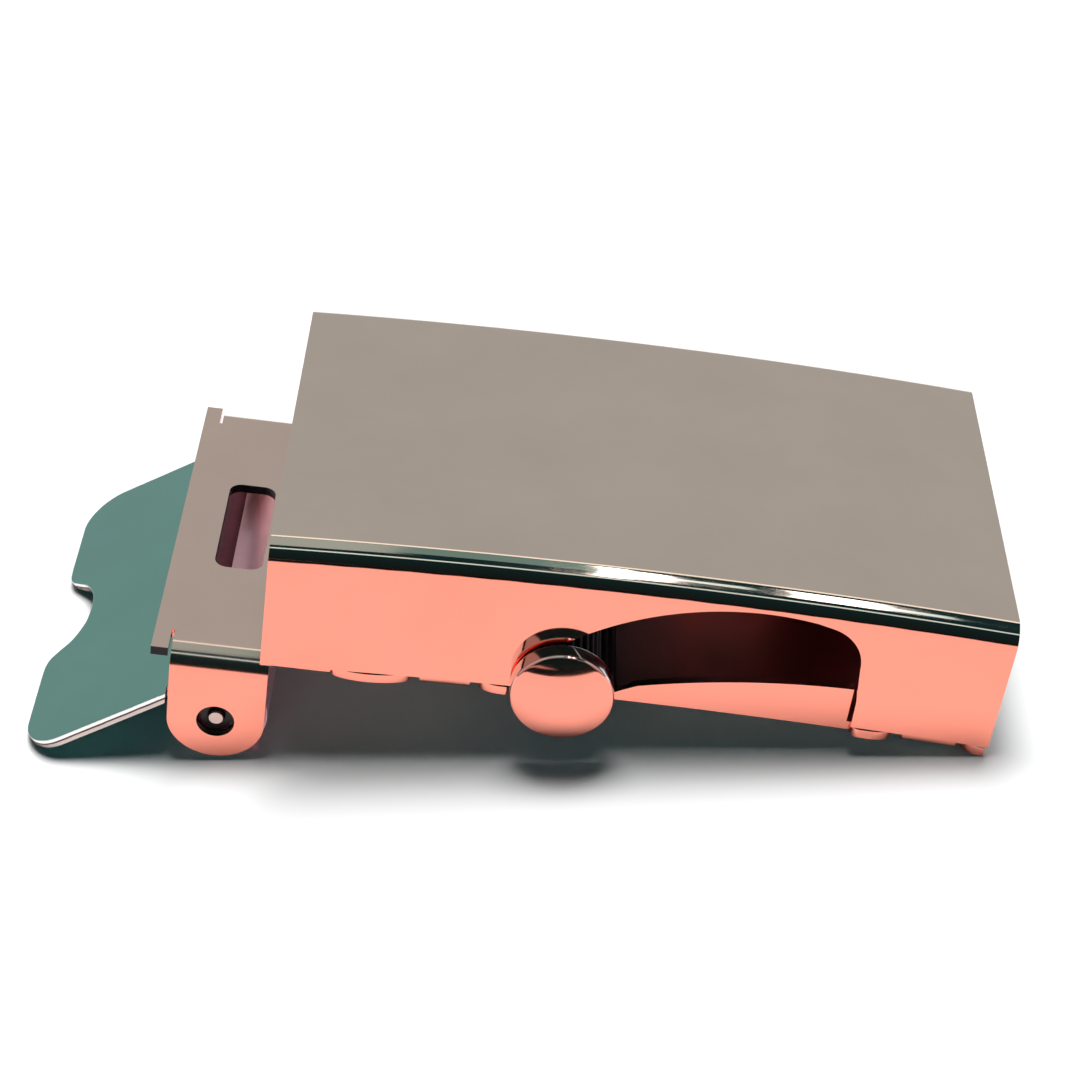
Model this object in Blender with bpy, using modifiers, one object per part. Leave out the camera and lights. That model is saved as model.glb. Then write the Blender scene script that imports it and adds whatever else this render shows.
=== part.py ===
"""Closed-face roller buckle for a 38 mm webbing belt.

X runs along the belt, with the clamp at -X and the belt's free end coming in at +X. +Z is the
polished face. The origin is on the inner face of the back plates, at the middle of the case.
"""
import math

import bmesh
import bpy
from mathutils import Matrix, Vector

MM = 0.001

# Case: a channel of thin sheet, open at both ends, whose face is bowed along its length.
CASE_LENGTH = 66.6 * MM
CASE_WIDTH = 41.2 * MM
CASE_SHEET = 0.6 * MM
CASE_BEND = 2.2 * MM
FACE_TOP = 13.65 * MM
WALL_FOOT = 0.25 * MM
BOW = 0.95 * MM

# Tabs: they fold under the back plates into pockets that leave the back flush.
TABS = ((-18.9 * MM, -14.35 * MM), (25.3 * MM, 30.3 * MM))
TAB_REACH = 3.2 * MM
TAB_BOTTOM = -1.1 * MM
TAB_BEND = 2.0 * MM
TAB_NOTCH = 0.8 * MM
POCKET_CEILING = -0.36 * MM
POCKET_INNER = 17.0 * MM

# Back plates. They lie under the walls' feet on tongues and between the walls elsewhere.
PLATE_SHEET = 0.9 * MM
PLATE_INSIDE = 19.5 * MM
PLATE_AT_TAB = 18.6 * MM
PLATE_TONGUE = 20.5 * MM
TONGUE_DEPTH = 1.1 * MM
BRACKET_TIP = 19.8 * MM
BOW_END = -27.0 * MM
BRACKET_LEFT = -43.2 * MM
BRACKET_RIGHT = -10.6 * MM
RAMP_RIGHT = 33.2 * MM

# Bracket: slot, ears and the hinge between them.
HINGE_X = -36.95 * MM
HINGE_Z = -8.25 * MM
EAR_RADIUS = 4.45 * MM
EAR_DROP = 4.1 * MM
EAR_OUTSIDE = 20.2 * MM
EAR_BEND = 2.2 * MM
RELIEF_WIDTH = 0.25 * MM
RELIEF_DEPTH = 0.9 * MM
SLOT_WIDTH = 4.5 * MM
SLOT_LENGTH = 13.6 * MM
SLOT_CORNER = 1.2 * MM
HINGE_HOLE = 1.75 * MM
PIN_RADIUS = 1.68 * MM
PIN_HALF_LENGTH = 19.75 * MM
PIN_NIB = 0.8 * MM

# Roller: it travels on an arc about TRAVEL, up the ramps, and spins on its axle.
REST_X = -6.15 * MM
REST_Z = 1.2 * MM
TRAVEL_X = 12.21 * MM
TRAVEL_Z = -23.41 * MM
TRAVEL_RANGE = 38.0
ROLLER_RADIUS = 3.5 * MM
ROLLER_BORE = 1.58 * MM
ROLLER_HALF_LENGTH = 20.6 * MM
FLUTES = 28
FLUTE_DEPTH = 0.2 * MM
AXLE_RADIUS = 1.5 * MM
AXLE_HALF_LENGTH = 20.75 * MM
STUB_RADIUS = 1.1 * MM
STUB_END = 22.4 * MM
RAMP_X = 20.14 * MM
RAMP_Z = -75.06 * MM
RAMP_RADIUS = 78.43 * MM
RAMP_GAP = 0.3 * MM
RAMP_START = -4.6 * MM
RAMP_TOE = -2.0 * MM
RAMP_END = 20.2 * MM

# Window in each wall: round at the roller's rest, an arched roof and a round far corner.
WINDOW_LEFT_RADIUS = 4.25 * MM
ROOF_X = 10.6 * MM
ROOF_Z = -16.5 * MM
ROOF_RADIUS = 28.0 * MM
CORNER_X = 15.75 * MM
CORNER_Z = 6.6 * MM
CORNER_RADIUS = 4.25 * MM
JAMB_X = 20.4 * MM
JAMB_Z = 2.75 * MM
WINDOW_RIGHT = 20.5 * MM

# Knobs, fixed on the axle outside the walls.
KNOB_RADIUS = 4.7 * MM
KNOB_INNER = 20.9 * MM
KNOB_THICKNESS = 2.9 * MM
KNOB_CURVE = 11.0 * MM
KNOB_EDGE = 0.35 * MM
KNOB_BACK_EDGE = 0.3 * MM
KNOB_BORE = 1.2 * MM
KNOB_BORE_DEPTH = 1.7 * MM

# Clamp lever, drawn with its plate level and pointing to -X from the hinge, then swung open.
LEVER_OPEN = math.radians(34.7)
LEVER_SHEET = 1.0 * MM
LEVER_HEIGHT = 4.65 * MM
LEVER_REACH = 18.5 * MM
LEVER_HALF_WIDTH = 19.9 * MM
LEVER_CORNER = 4.3 * MM
JAW_HALF_WIDTH = 18.9 * MM
JAW_TOOTH = 6.1 * MM
TOOTH_PITCH = 2.6 * MM
TOOTH_DEPTH = 0.9 * MM
LUG_RADIUS = 4.2 * MM
EAR_CLEARANCE = 0.25 * MM
NOTCH = ((0.0, 14.5), (2.2, 14.75), (4.3, 15.8), (5.4, 17.1), (6.2, 18.0), (7.2, 18.4))

# Ways to stand a shape that is drawn flat: along +Z, along Y seen from the near side, along X.
UPRIGHT = Matrix.Identity(4)
ALONG_Y = Matrix.Rotation(math.pi / 2, 4, "X")
ALONG_X = Matrix.Rotation(math.pi / 2, 4, "Z") @ Matrix.Rotation(math.pi / 2, 4, "X")


def clear_scene():
    for item in list(bpy.data.objects):
        bpy.data.objects.remove(item, do_unlink=True)


def new_collection(name):
    group = bpy.data.collections.new(name)
    bpy.context.scene.collection.children.link(group)
    return group


def metal(name, color, roughness):
    """A Principled metal."""
    material = bpy.data.materials.new(name)
    material.use_nodes = True
    shader = material.node_tree.nodes["Principled BSDF"]
    shader.inputs["Base Color"].default_value = (*color, 1.0)
    shader.inputs["Metallic"].default_value = 1.0
    shader.inputs["Roughness"].default_value = roughness
    return material


def add_object(name, mesh, group, matrix=UPRIGHT):
    item = bpy.data.objects.new(name, mesh)
    item.matrix_world = matrix
    group.objects.link(item)
    return item


def as_tool(item):
    """Mark an object as one that only shapes others."""
    item.hide_render = True
    item.display_type = "WIRE"
    return item


def boolean(item, tool, operation):
    modifier = item.modifiers.new(f"{operation.lower()}_{tool.name}", "BOOLEAN")
    modifier.operation = operation
    modifier.solver = "EXACT"
    modifier.object = tool


def settle(item):
    """Make the modifiers' result the object's own mesh."""
    evaluated = item.evaluated_get(bpy.context.evaluated_depsgraph_get())
    mesh = bpy.data.meshes.new_from_object(evaluated)
    item.modifiers.clear()
    item.data = mesh


def ellipse(center_x, center_y, radius_x, radius_y, start, end, steps):
    """Points along part of an ellipse, angles in degrees."""
    points = []
    for step in range(steps + 1):
        angle = math.radians(start + (end - start) * step / steps)
        points.append((center_x + radius_x * math.cos(angle), center_y + radius_y * math.sin(angle)))
    return points


def arc(center_x, center_y, radius, start, end, steps):
    return ellipse(center_x, center_y, radius, radius, start, end, steps)


def mirrored(half):
    """Close an outline from its +Y half, which runs from one end of the X axis to the other."""
    other = [(x, -y) for x, y in reversed(half) if y > 0.0]
    return half + other


def prism(name, outlines, low, high, stand, group, matrix=UPRIGHT):
    """A flat outline, with any holes, filled and extruded from low to high."""
    curve = bpy.data.curves.new(name, "CURVE")
    curve.dimensions = "2D"
    curve.fill_mode = "BOTH"
    curve.extrude = (high - low) / 2
    for outline in outlines:
        spline = curve.splines.new("POLY")
        spline.points.add(len(outline) - 1)
        for point, (x, y) in zip(spline.points, outline):
            point.co = (x, y, 0.0, 1.0)
        spline.use_cyclic_u = True
    place = matrix @ stand @ Matrix.Translation((0.0, 0.0, (high + low) / 2))
    guide = add_object(name + "_outline", curve, group, place)
    evaluated = guide.evaluated_get(bpy.context.evaluated_depsgraph_get())
    mesh = bpy.data.meshes.new_from_object(evaluated)
    bpy.data.objects.remove(guide, do_unlink=True)
    shape = bmesh.new()
    shape.from_mesh(mesh)
    bmesh.ops.remove_doubles(shape, verts=shape.verts, dist=0.001 * MM)
    bmesh.ops.recalc_face_normals(shape, faces=shape.faces)
    shape.to_mesh(mesh)
    shape.free()
    mesh.name = name
    return add_object(name, mesh, group, place)


def turned(name, profile, steps, matrix, group):
    """Revolve an (r, z) profile, which runs from the top of the axis down its outer side."""
    mesh = bpy.data.meshes.new(name)
    edges = [(index, index + 1) for index in range(len(profile) - 1)]
    mesh.from_pydata([(r, 0.0, z) for r, z in profile], edges, [])
    item = add_object(name, mesh, group, matrix)
    screw = item.modifiers.new("revolve", "SCREW")
    screw.steps = steps
    screw.render_steps = steps
    screw.use_merge_vertices = True
    screw.merge_threshold = 0.001 * MM
    screw.use_smooth_shade = True
    return item


def curved_sheet(name, columns, rows, place, keep, thickness, group):
    """A grid of the given stations, bent by place(column, row), with Solidify behind it."""
    shape = bmesh.new()
    last_column = len(columns) - 1
    last_row = len(rows) - 1
    bmesh.ops.create_grid(shape, x_segments=last_column, y_segments=last_row, size=1.0)
    unwanted = []
    for face in shape.faces:
        center = face.calc_center_median()
        column = (center.x + 1.0) / 2.0 * last_column
        row = (center.y + 1.0) / 2.0 * last_row
        if not keep(int(column), int(row)):
            unwanted.append(face)
    bmesh.ops.delete(shape, geom=unwanted, context="FACES")
    for vertex in shape.verts:
        column = round((vertex.co.x + 1.0) / 2.0 * last_column)
        row = round((vertex.co.y + 1.0) / 2.0 * last_row)
        vertex.co = place(columns[column], rows[row])
    mesh = bpy.data.meshes.new(name)
    shape.to_mesh(mesh)
    shape.free()
    item = add_object(name, mesh, group)
    solidify = item.modifiers.new("sheet", "SOLIDIFY")
    solidify.thickness = thickness
    solidify.offset = -1.0
    solidify.use_even_offset = True
    return item


def stations(marks, spacing):
    """The marks, with evenly spaced stations between them."""
    result = [marks[0]]
    for low, high in zip(marks, marks[1:]):
        count = max(1, round((high - low) / spacing))
        for step in range(1, count + 1):
            result.append(low + (high - low) * step / count)
    return result


def bow(x):
    """How far the case has curved down at x."""
    return BOW * (2.0 * x / CASE_LENGTH) ** 2


def bed_drop(x):
    """The plates follow the case's bow, and run level from BOW_END to the bracket's end."""
    return bow(max(x, BOW_END))


def window_outline():
    deep = -4.0 * MM
    left = arc(REST_X, REST_Z, WINDOW_LEFT_RADIUS, 215, 99.6, 14)
    roof = arc(ROOF_X, ROOF_Z, ROOF_RADIUS, 128, 80.2, 20)
    corner = arc(CORNER_X, CORNER_Z, CORNER_RADIUS, 76, 0, 8)
    jamb = [(JAMB_X, JAMB_Z), (WINDOW_RIGHT, deep)]
    return [(left[0][0], deep)] + left + roof + corner + jamb


def make_case(parts, tools):
    half_width = CASE_WIDTH / 2
    fold = half_width - TAB_BEND
    side = [(-fold + TAB_REACH - TAB_BEND, TAB_BOTTOM)]
    side += ellipse(-fold, WALL_FOOT, TAB_BEND, WALL_FOOT - TAB_BOTTOM, 270, 180, 6)
    fold_rows = len(side) - 1
    bend = half_width - CASE_BEND
    side += arc(-bend, FACE_TOP - CASE_BEND, CASE_BEND, 180, 90, 6)
    profile = side + [(-y, z) for y, z in reversed(side)]
    marks = [-CASE_LENGTH / 2, TABS[0][0], TABS[0][1], TABS[1][0], TABS[1][1], CASE_LENGTH / 2]
    columns = stations(marks, 4.5 * MM)
    last_row = len(profile) - 2

    def keep(column, row):
        in_fold = row < fold_rows or row > last_row - fold_rows
        middle = (columns[column] + columns[column + 1]) / 2
        return not in_fold or any(low < middle < high for low, high in TABS)

    def place(x, point):
        return (x, point[0], point[1] - bow(x))

    case = curved_sheet("case", columns, profile, place, keep, CASE_SHEET, parts)
    window = prism("window", [window_outline()], -half_width * 1.2, half_width * 1.2, ALONG_Y, tools)
    boolean(case, as_tool(window), "DIFFERENCE")
    return case


def blanked_bed(name, plan, left, right, parts, tools):
    """A back plate's bed: the bowed sheet, cut to its plan outline."""
    columns = stations([left - MM, right + MM], 4.0 * MM)
    rows = [-CASE_WIDTH, CASE_WIDTH]

    def place(x, y):
        return (x, y, -bed_drop(x))

    bed = curved_sheet(name, columns, rows, place, lambda column, row: True, PLATE_SHEET, parts)
    blank = prism(name + "_blank", [mirrored(plan)], -10 * MM, 10 * MM, UPRIGHT, tools)
    boolean(bed, as_tool(blank), "INTERSECT")
    return bed


def cut_pockets(plate, tab, tools):
    """Thin the plate from below where a pair of tabs lies against it."""
    left = tab[0] - TAB_NOTCH
    right = tab[1] + TAB_NOTCH
    deep = -3.0 * MM
    ceiling = [(left, POCKET_CEILING - bow(left)), (right, POCKET_CEILING - bow(right))]
    outline = ceiling + [(right, deep), (left, deep)]
    for side, label in ((-1, "near"), (1, "far")):
        start, end = sorted((side * POCKET_INNER, side * CASE_WIDTH))
        pocket = prism(f"{plate.name}_pocket_{label}", [outline], start, end, ALONG_Y, tools)
        boolean(plate, as_tool(pocket), "DIFFERENCE")


def tongue(left, right, left_run, right_run):
    """The +Y edge of a stretch of plate that comes out under the wall's foot in a long curve."""
    level = PLATE_TONGUE - TONGUE_DEPTH
    start = ellipse(left + left_run, level, left_run, TONGUE_DEPTH, 180, 90, 6)
    end = ellipse(right - right_run, level, right_run, TONGUE_DEPTH, 90, 0, 6)
    return start + end


def ear_strap(side, parts_name, tools):
    """The strip that comes off the bracket's edge and is folded down, with a round end."""
    top = -bed_drop(BRACKET_LEFT)
    flat = EAR_OUTSIDE - EAR_BEND
    inner = EAR_BEND - PLATE_SHEET
    foot = HINGE_Z - EAR_RADIUS - MM
    root = flat - 2.5 * MM
    outline = [(root, top)] + arc(flat, top - EAR_BEND, EAR_BEND, 90, 0, 6)
    outline += [(EAR_OUTSIDE, foot), (EAR_OUTSIDE - PLATE_SHEET, foot)]
    outline += arc(flat, top - EAR_BEND, inner, 0, 90, 6) + [(root, top - PLATE_SHEET)]
    outline = [(side * y, z) for y, z in outline]
    left = HINGE_X - EAR_RADIUS
    right = HINGE_X + EAR_RADIUS
    strap = prism(parts_name + "_strap", [outline], left, right, ALONG_X, tools)
    rounded = ellipse(HINGE_X, HINGE_Z, EAR_RADIUS, EAR_DROP, 180, 360, 20)
    rounded = [(left - MM, 2 * MM), (left - MM, HINGE_Z), *rounded]
    rounded += [(right + MM, HINGE_Z), (right + MM, 2 * MM)]
    die = prism(parts_name + "_die", [rounded], -25 * MM, 25 * MM, ALONG_Y, tools)
    boolean(strap, as_tool(die), "INTERSECT")
    return as_tool(strap)


def rounded_slot(length_x, length_y, corner):
    x = length_x / 2 - corner
    y = length_y / 2 - corner
    outline = arc(x, y, corner, 0, 90, 4) + arc(-x, y, corner, 90, 180, 4)
    return outline + arc(-x, -y, corner, 180, 270, 4) + arc(x, -y, corner, 270, 360, 4)


def make_bracket_plate(parts, tools):
    ear_left = HINGE_X - EAR_RADIUS
    ear_right = HINGE_X + EAR_RADIUS
    bend_line = EAR_OUTSIDE - EAR_BEND
    relief = bend_line - RELIEF_DEPTH
    lip = BRACKET_TIP
    notch_left = TABS[0][0] - TAB_NOTCH
    notch_right = TABS[0][1] + TAB_NOTCH
    middle_run = (notch_left - BOW_END) / 2
    plan = [(BRACKET_LEFT, 0.0), (BRACKET_LEFT, lip), (ear_left - RELIEF_WIDTH, lip)]
    plan += [(ear_left - RELIEF_WIDTH, relief), (ear_left, relief), (ear_left, bend_line - 0.1 * MM)]
    plan += [(ear_right, bend_line - 0.1 * MM), (ear_right, relief)]
    plan += [(ear_right + RELIEF_WIDTH, relief), (ear_right + RELIEF_WIDTH, PLATE_INSIDE)]
    plan += [(BOW_END, PLATE_INSIDE)] + tongue(BOW_END, notch_left, middle_run, middle_run)
    plan += [(notch_left, PLATE_AT_TAB), (notch_right, PLATE_AT_TAB)]
    plan += tongue(notch_right, BRACKET_RIGHT, 2.2 * MM, 0.5 * MM) + [(BRACKET_RIGHT, 0.0)]
    plate = blanked_bed("bracket_plate", plan, BRACKET_LEFT, BRACKET_RIGHT, parts, tools)
    cut_pockets(plate, TABS[0], tools)
    for side, label in ((-1, "ear_near"), (1, "ear_far")):
        boolean(plate, ear_strap(side, label, tools), "UNION")
    slot_outline = rounded_slot(SLOT_WIDTH, SLOT_LENGTH, SLOT_CORNER)
    at_slot = Matrix.Translation((HINGE_X, 0.0, 0.0))
    slot = prism("slot", [slot_outline], -5 * MM, 5 * MM, UPRIGHT, tools, at_slot)
    boolean(plate, as_tool(slot), "DIFFERENCE")
    hole_outline = arc(0.0, 0.0, HINGE_HOLE, 0, 352.5, 47)
    at_hinge = Matrix.Translation((HINGE_X, 0.0, HINGE_Z))
    hole = prism("ear_hole", [hole_outline], -25 * MM, 25 * MM, ALONG_Y, tools, at_hinge)
    boolean(plate, as_tool(hole), "DIFFERENCE")
    return plate


def roller_sweep_outline():
    """The room that the roller needs along its whole travel, in (x, z)."""
    room = ROLLER_RADIUS + RAMP_GAP
    radius = math.hypot(REST_X - TRAVEL_X, REST_Z - TRAVEL_Z)
    start = math.degrees(math.atan2(REST_Z - TRAVEL_Z, REST_X - TRAVEL_X))
    end = start - TRAVEL_RANGE
    far_x = TRAVEL_X + radius * math.cos(math.radians(end))
    far_z = TRAVEL_Z + radius * math.sin(math.radians(end))
    outline = arc(TRAVEL_X, TRAVEL_Z, radius + room, start, end, 30)
    outline += arc(far_x, far_z, room, end, end - 180, 20)[1:-1]
    outline += arc(TRAVEL_X, TRAVEL_Z, radius - room, end, start, 30)
    return outline + arc(REST_X, REST_Z, room, start + 180, start, 24)[1:-1]


def make_ramp_plate(parts, tools):
    notch_left = TABS[1][0] - TAB_NOTCH
    notch_right = TABS[1][1] + TAB_NOTCH
    plan = [(RAMP_START, 0.0), (RAMP_START, PLATE_INSIDE), (WINDOW_RIGHT, PLATE_INSIDE)]
    plan += tongue(WINDOW_RIGHT, notch_left, 0.8 * MM, 2.0 * MM)
    plan += [(notch_left, PLATE_AT_TAB), (notch_right, PLATE_AT_TAB)]
    plan += tongue(notch_right, RAMP_RIGHT, 1.9 * MM, 0.2 * MM) + [(RAMP_RIGHT, 0.0)]
    plate = blanked_bed("ramp_plate", plan, RAMP_START, RAMP_RIGHT, parts, tools)
    cut_pockets(plate, TABS[1], tools)
    start = math.degrees(math.acos((RAMP_TOE - RAMP_X) / RAMP_RADIUS))
    end = math.degrees(math.acos((RAMP_END - RAMP_X) / RAMP_RADIUS))
    top = arc(RAMP_X, RAMP_Z, RAMP_RADIUS, start, end, 14)
    buried = -PLATE_SHEET / 2
    outline = top + [(RAMP_END, buried - bow(RAMP_END)), (RAMP_TOE, buried)]
    for side, label in ((-1, "ramp_near"), (1, "ramp_far")):
        outer = -side * PLATE_INSIDE
        inner = -side * (PLATE_INSIDE - PLATE_SHEET)
        low, high = sorted((outer, inner))
        ramp = prism(label, [outline], low, high, ALONG_Y, tools)
        boolean(plate, as_tool(ramp), "UNION")
    room = prism("roller_room", [roller_sweep_outline()], -25 * MM, 25 * MM, ALONG_Y, tools)
    boolean(plate, as_tool(room), "DIFFERENCE")
    return plate


def lever_plan():
    """The +Y half of the lever's plate, from the notch at -X to the jaw at x = 0."""
    corner_x = -LEVER_REACH + LEVER_CORNER
    corner_y = LEVER_HALF_WIDTH - LEVER_CORNER
    scallop = [(-reach * MM, y * MM) for y, reach in NOTCH]
    rounded = arc(corner_x, corner_y, LEVER_CORNER, 180, 90, 8)
    free_edge = [(-LEVER_REACH, 8.6 * MM)]
    return scallop + free_edge + rounded + [(0.0, LEVER_HALF_WIDTH), (0.0, 0.0)]


def jaw_outline():
    """The sheet rolled half round the hinge, ending in a lip that stands outwards."""
    inner = LEVER_HEIGHT - LEVER_SHEET
    lip_angle = -math.degrees(math.acos(LEVER_SHEET / LEVER_HEIGHT))
    outline = [(-0.6 * MM, inner), (-0.6 * MM, LEVER_HEIGHT)]
    outline += arc(0.0, 0.0, LEVER_HEIGHT, 90, lip_angle, 20)
    outline += [(LEVER_SHEET, -JAW_TOOTH), (0.0, -JAW_TOOTH)]
    return outline + arc(0.0, 0.0, inner, -90, 90, 20)


def teeth_outline():
    """A zigzag below the lip's edge, in (y, z)."""
    count = int(JAW_HALF_WIDTH / TOOTH_PITCH) * 2
    first = -count * TOOTH_PITCH / 2
    bottom = -JAW_TOOTH - 1.0 * MM
    outline = [(first, bottom)]
    for tooth in range(count):
        edge = first + tooth * TOOTH_PITCH
        outline.append((edge + 0.15 * TOOTH_PITCH, -JAW_TOOTH - 0.1 * MM))
        outline.append((edge + 0.5 * TOOTH_PITCH, -JAW_TOOTH + TOOTH_DEPTH))
        outline.append((edge + 0.85 * TOOTH_PITCH, -JAW_TOOTH - 0.1 * MM))
    return outline + [(-first, bottom)]


def ear_room_outline():
    """The space in front of an ear's straight edge, in (x, z) of the level lever."""
    left = -EAR_RADIUS - EAR_CLEARANCE
    right = EAR_RADIUS + 2 * MM
    corners = ((left, -8 * MM), (right, -8 * MM), (right, 8 * MM), (left, 8 * MM))
    turn = Matrix.Rotation(-LEVER_OPEN, 2)
    return [tuple(turn @ Vector(corner)) for corner in corners]


def make_lever(parts, tools):
    low = LEVER_HEIGHT - LEVER_SHEET
    lever = prism("clamp_lever", [mirrored(lever_plan())], low, LEVER_HEIGHT, UPRIGHT, parts)
    jaw_end = JAW_HALF_WIDTH + 0.7 * MM
    jaw = prism("jaw", [jaw_outline()], -jaw_end, jaw_end, ALONG_Y, tools)
    boolean(lever, as_tool(jaw), "UNION")
    lug_outline = arc(0.0, 0.0, LUG_RADIUS, 0, 352.5, 47)
    lug_end = JAW_HALF_WIDTH + 0.4 * MM
    for side, label in ((-1, "lug_near"), (1, "lug_far")):
        start, end = sorted((-side * lug_end, -side * (JAW_HALF_WIDTH - LEVER_SHEET)))
        lug = prism(label, [lug_outline], start, end, ALONG_Y, tools)
        boolean(lever, as_tool(lug), "UNION")
    for side, label in ((-1, "ear_room_near"), (1, "ear_room_far")):
        start, end = sorted((-side * JAW_HALF_WIDTH, -side * (LEVER_HALF_WIDTH + MM)))
        room = prism(label, [ear_room_outline()], start, end, ALONG_Y, tools)
        boolean(lever, as_tool(room), "DIFFERENCE")
    teeth = prism("teeth", [teeth_outline()], -2 * MM, 3 * MM, ALONG_X, tools)
    boolean(lever, as_tool(teeth), "DIFFERENCE")
    hole_outline = arc(0.0, 0.0, HINGE_HOLE, 0, 352.5, 47)
    hole = prism("lug_hole", [hole_outline], -25 * MM, 25 * MM, ALONG_Y, tools)
    boolean(lever, as_tool(hole), "DIFFERENCE")
    settle(lever)
    lever.matrix_world = (
        Matrix.Translation((HINGE_X, 0.0, HINGE_Z))
        @ Matrix.Rotation(-LEVER_OPEN, 4, "Y")
        @ lever.matrix_world
    )
    return lever


def make_pin(parts):
    chamfer = PIN_RADIUS - PIN_NIB
    half = [(0.0, PIN_HALF_LENGTH), (PIN_NIB, PIN_HALF_LENGTH), (PIN_RADIUS, PIN_HALF_LENGTH - chamfer)]
    profile = half + [(r, -z) for r, z in reversed(half)]
    place = Matrix.Translation((HINGE_X, 0.0, HINGE_Z)) @ ALONG_Y
    return turned("hinge_pin", profile, 48, place, parts)


def make_axle(place, parts):
    half = [(0.0, STUB_END), (STUB_RADIUS, STUB_END), (STUB_RADIUS, AXLE_HALF_LENGTH)]
    half.append((AXLE_RADIUS, AXLE_HALF_LENGTH))
    profile = half + [(r, -z) for r, z in reversed(half)]
    return turned("roller_axle", profile, 48, place @ ALONG_Y, parts)


def make_sleeve(place, parts):
    steps = FLUTES * 4
    fluted = []
    for step in range(steps):
        angle = 2.0 * math.pi * step / steps
        radius = ROLLER_RADIUS - FLUTE_DEPTH * (0.5 + 0.5 * math.cos(angle * FLUTES))
        fluted.append((radius * math.cos(angle), radius * math.sin(angle)))
    bore = arc(0.0, 0.0, ROLLER_BORE, 0, 352.5, 47)
    length = ROLLER_HALF_LENGTH
    sleeve = prism("roller_sleeve", [fluted, bore], -length, length, ALONG_Y, parts, place)
    return sleeve


def make_knob(name, side, place, parts):
    """A round head whose flat side faces the wall and whose outer face is domed."""
    centre = KNOB_THICKNESS - KNOB_CURVE
    inner = KNOB_CURVE - KNOB_EDGE
    spread = math.degrees(math.asin((KNOB_RADIUS - KNOB_EDGE) / inner))
    edge_level = centre + inner * math.cos(math.radians(spread))
    profile = arc(0.0, centre, KNOB_CURVE, 90, 90 - spread, 6)
    profile += arc(KNOB_RADIUS - KNOB_EDGE, edge_level, KNOB_EDGE, 90 - spread, 0, 4)[1:]
    profile += arc(KNOB_RADIUS - KNOB_BACK_EDGE, KNOB_BACK_EDGE, KNOB_BACK_EDGE, 0, -90, 3)
    profile += [(KNOB_BORE, 0.0), (KNOB_BORE, KNOB_BORE_DEPTH), (0.0, KNOB_BORE_DEPTH)]
    turn = Matrix.Rotation(-side * math.pi / 2, 4, "X")
    outwards = place @ turn @ Matrix.Translation((0.0, 0.0, KNOB_INNER))
    return turned(name, profile, 48, outwards, parts)


def add_pivot(name, location, group):
    pivot = bpy.data.objects.new(name, None)
    pivot.location = location
    pivot.empty_display_size = 5 * MM
    group.objects.link(pivot)
    return pivot


def hang_on(pivot, items):
    """Parent the items to a pivot where they stand."""
    bpy.context.view_layer.update()
    for item in items:
        item.parent = pivot
        item.matrix_parent_inverse = pivot.matrix_world.inverted()


def finish_item(item, material):
    item.data.materials.clear()
    item.data.materials.append(material)


def main():
    clear_scene()
    parts = new_collection("buckle_slider")
    tools = new_collection("cutters")
    case = make_case(parts, tools)
    bracket = make_bracket_plate(parts, tools)
    ramp = make_ramp_plate(parts, tools)
    lever = make_lever(parts, tools)
    pin = make_pin(parts)
    at_rest = Matrix.Translation((REST_X, 0.0, REST_Z))
    axle = make_axle(at_rest, parts)
    sleeve = make_sleeve(at_rest, parts)
    near = make_knob("knob_near", -1, at_rest, parts)
    far = make_knob("knob_far", 1, at_rest, parts)
    travel_pivot = add_pivot("roller_travel", (TRAVEL_X, 0.0, TRAVEL_Z), parts)
    hang_on(travel_pivot, (axle, sleeve, near, far))

    finish_item(case, metal("case_metal", (0.62, 0.45, 0.38), 0.16))
    finish_item(bracket, metal("bracket_metal", (0.55, 0.44, 0.40), 0.20))
    finish_item(ramp, metal("ramp_metal", (0.66, 0.42, 0.36), 0.22))
    finish_item(lever, metal("lever_metal", (0.30, 0.40, 0.42), 0.20))
    finish_item(pin, metal("pin_metal", (0.45, 0.40, 0.38), 0.25))
    finish_item(axle, metal("axle_metal", (0.35, 0.33, 0.33), 0.30))
    finish_item(sleeve, metal("roller_metal", (0.22, 0.20, 0.21), 0.35))
    finish_item(near, metal("knob_near_metal", (0.72, 0.50, 0.43), 0.12))
    finish_item(far, metal("knob_far_metal", (0.72, 0.50, 0.43), 0.12))


main()
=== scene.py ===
"""The looks of the roller buckle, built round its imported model.

Every sheet-metal piece is drawn again at its CAD size with fine bends, rounded edges and plating.
All lengths are in metres, in the model's own frame.
"""
import math

import bmesh
import bpy
from mathutils import Euler, Matrix, Vector


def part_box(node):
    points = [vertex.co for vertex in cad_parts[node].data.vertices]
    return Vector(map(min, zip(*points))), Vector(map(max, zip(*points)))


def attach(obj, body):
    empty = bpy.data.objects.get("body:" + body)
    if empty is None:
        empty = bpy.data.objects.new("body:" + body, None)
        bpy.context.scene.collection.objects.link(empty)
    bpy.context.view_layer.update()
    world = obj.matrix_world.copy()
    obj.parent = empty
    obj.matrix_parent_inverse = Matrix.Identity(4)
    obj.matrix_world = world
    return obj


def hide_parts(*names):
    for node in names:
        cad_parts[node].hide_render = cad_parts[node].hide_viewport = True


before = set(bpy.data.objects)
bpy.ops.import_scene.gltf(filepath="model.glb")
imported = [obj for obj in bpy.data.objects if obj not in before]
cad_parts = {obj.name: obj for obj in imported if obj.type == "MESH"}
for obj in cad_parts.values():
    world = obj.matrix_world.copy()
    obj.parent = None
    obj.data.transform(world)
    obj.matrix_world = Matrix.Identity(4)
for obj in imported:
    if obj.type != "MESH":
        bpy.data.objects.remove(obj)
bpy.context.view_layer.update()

MM = 0.001

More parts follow.
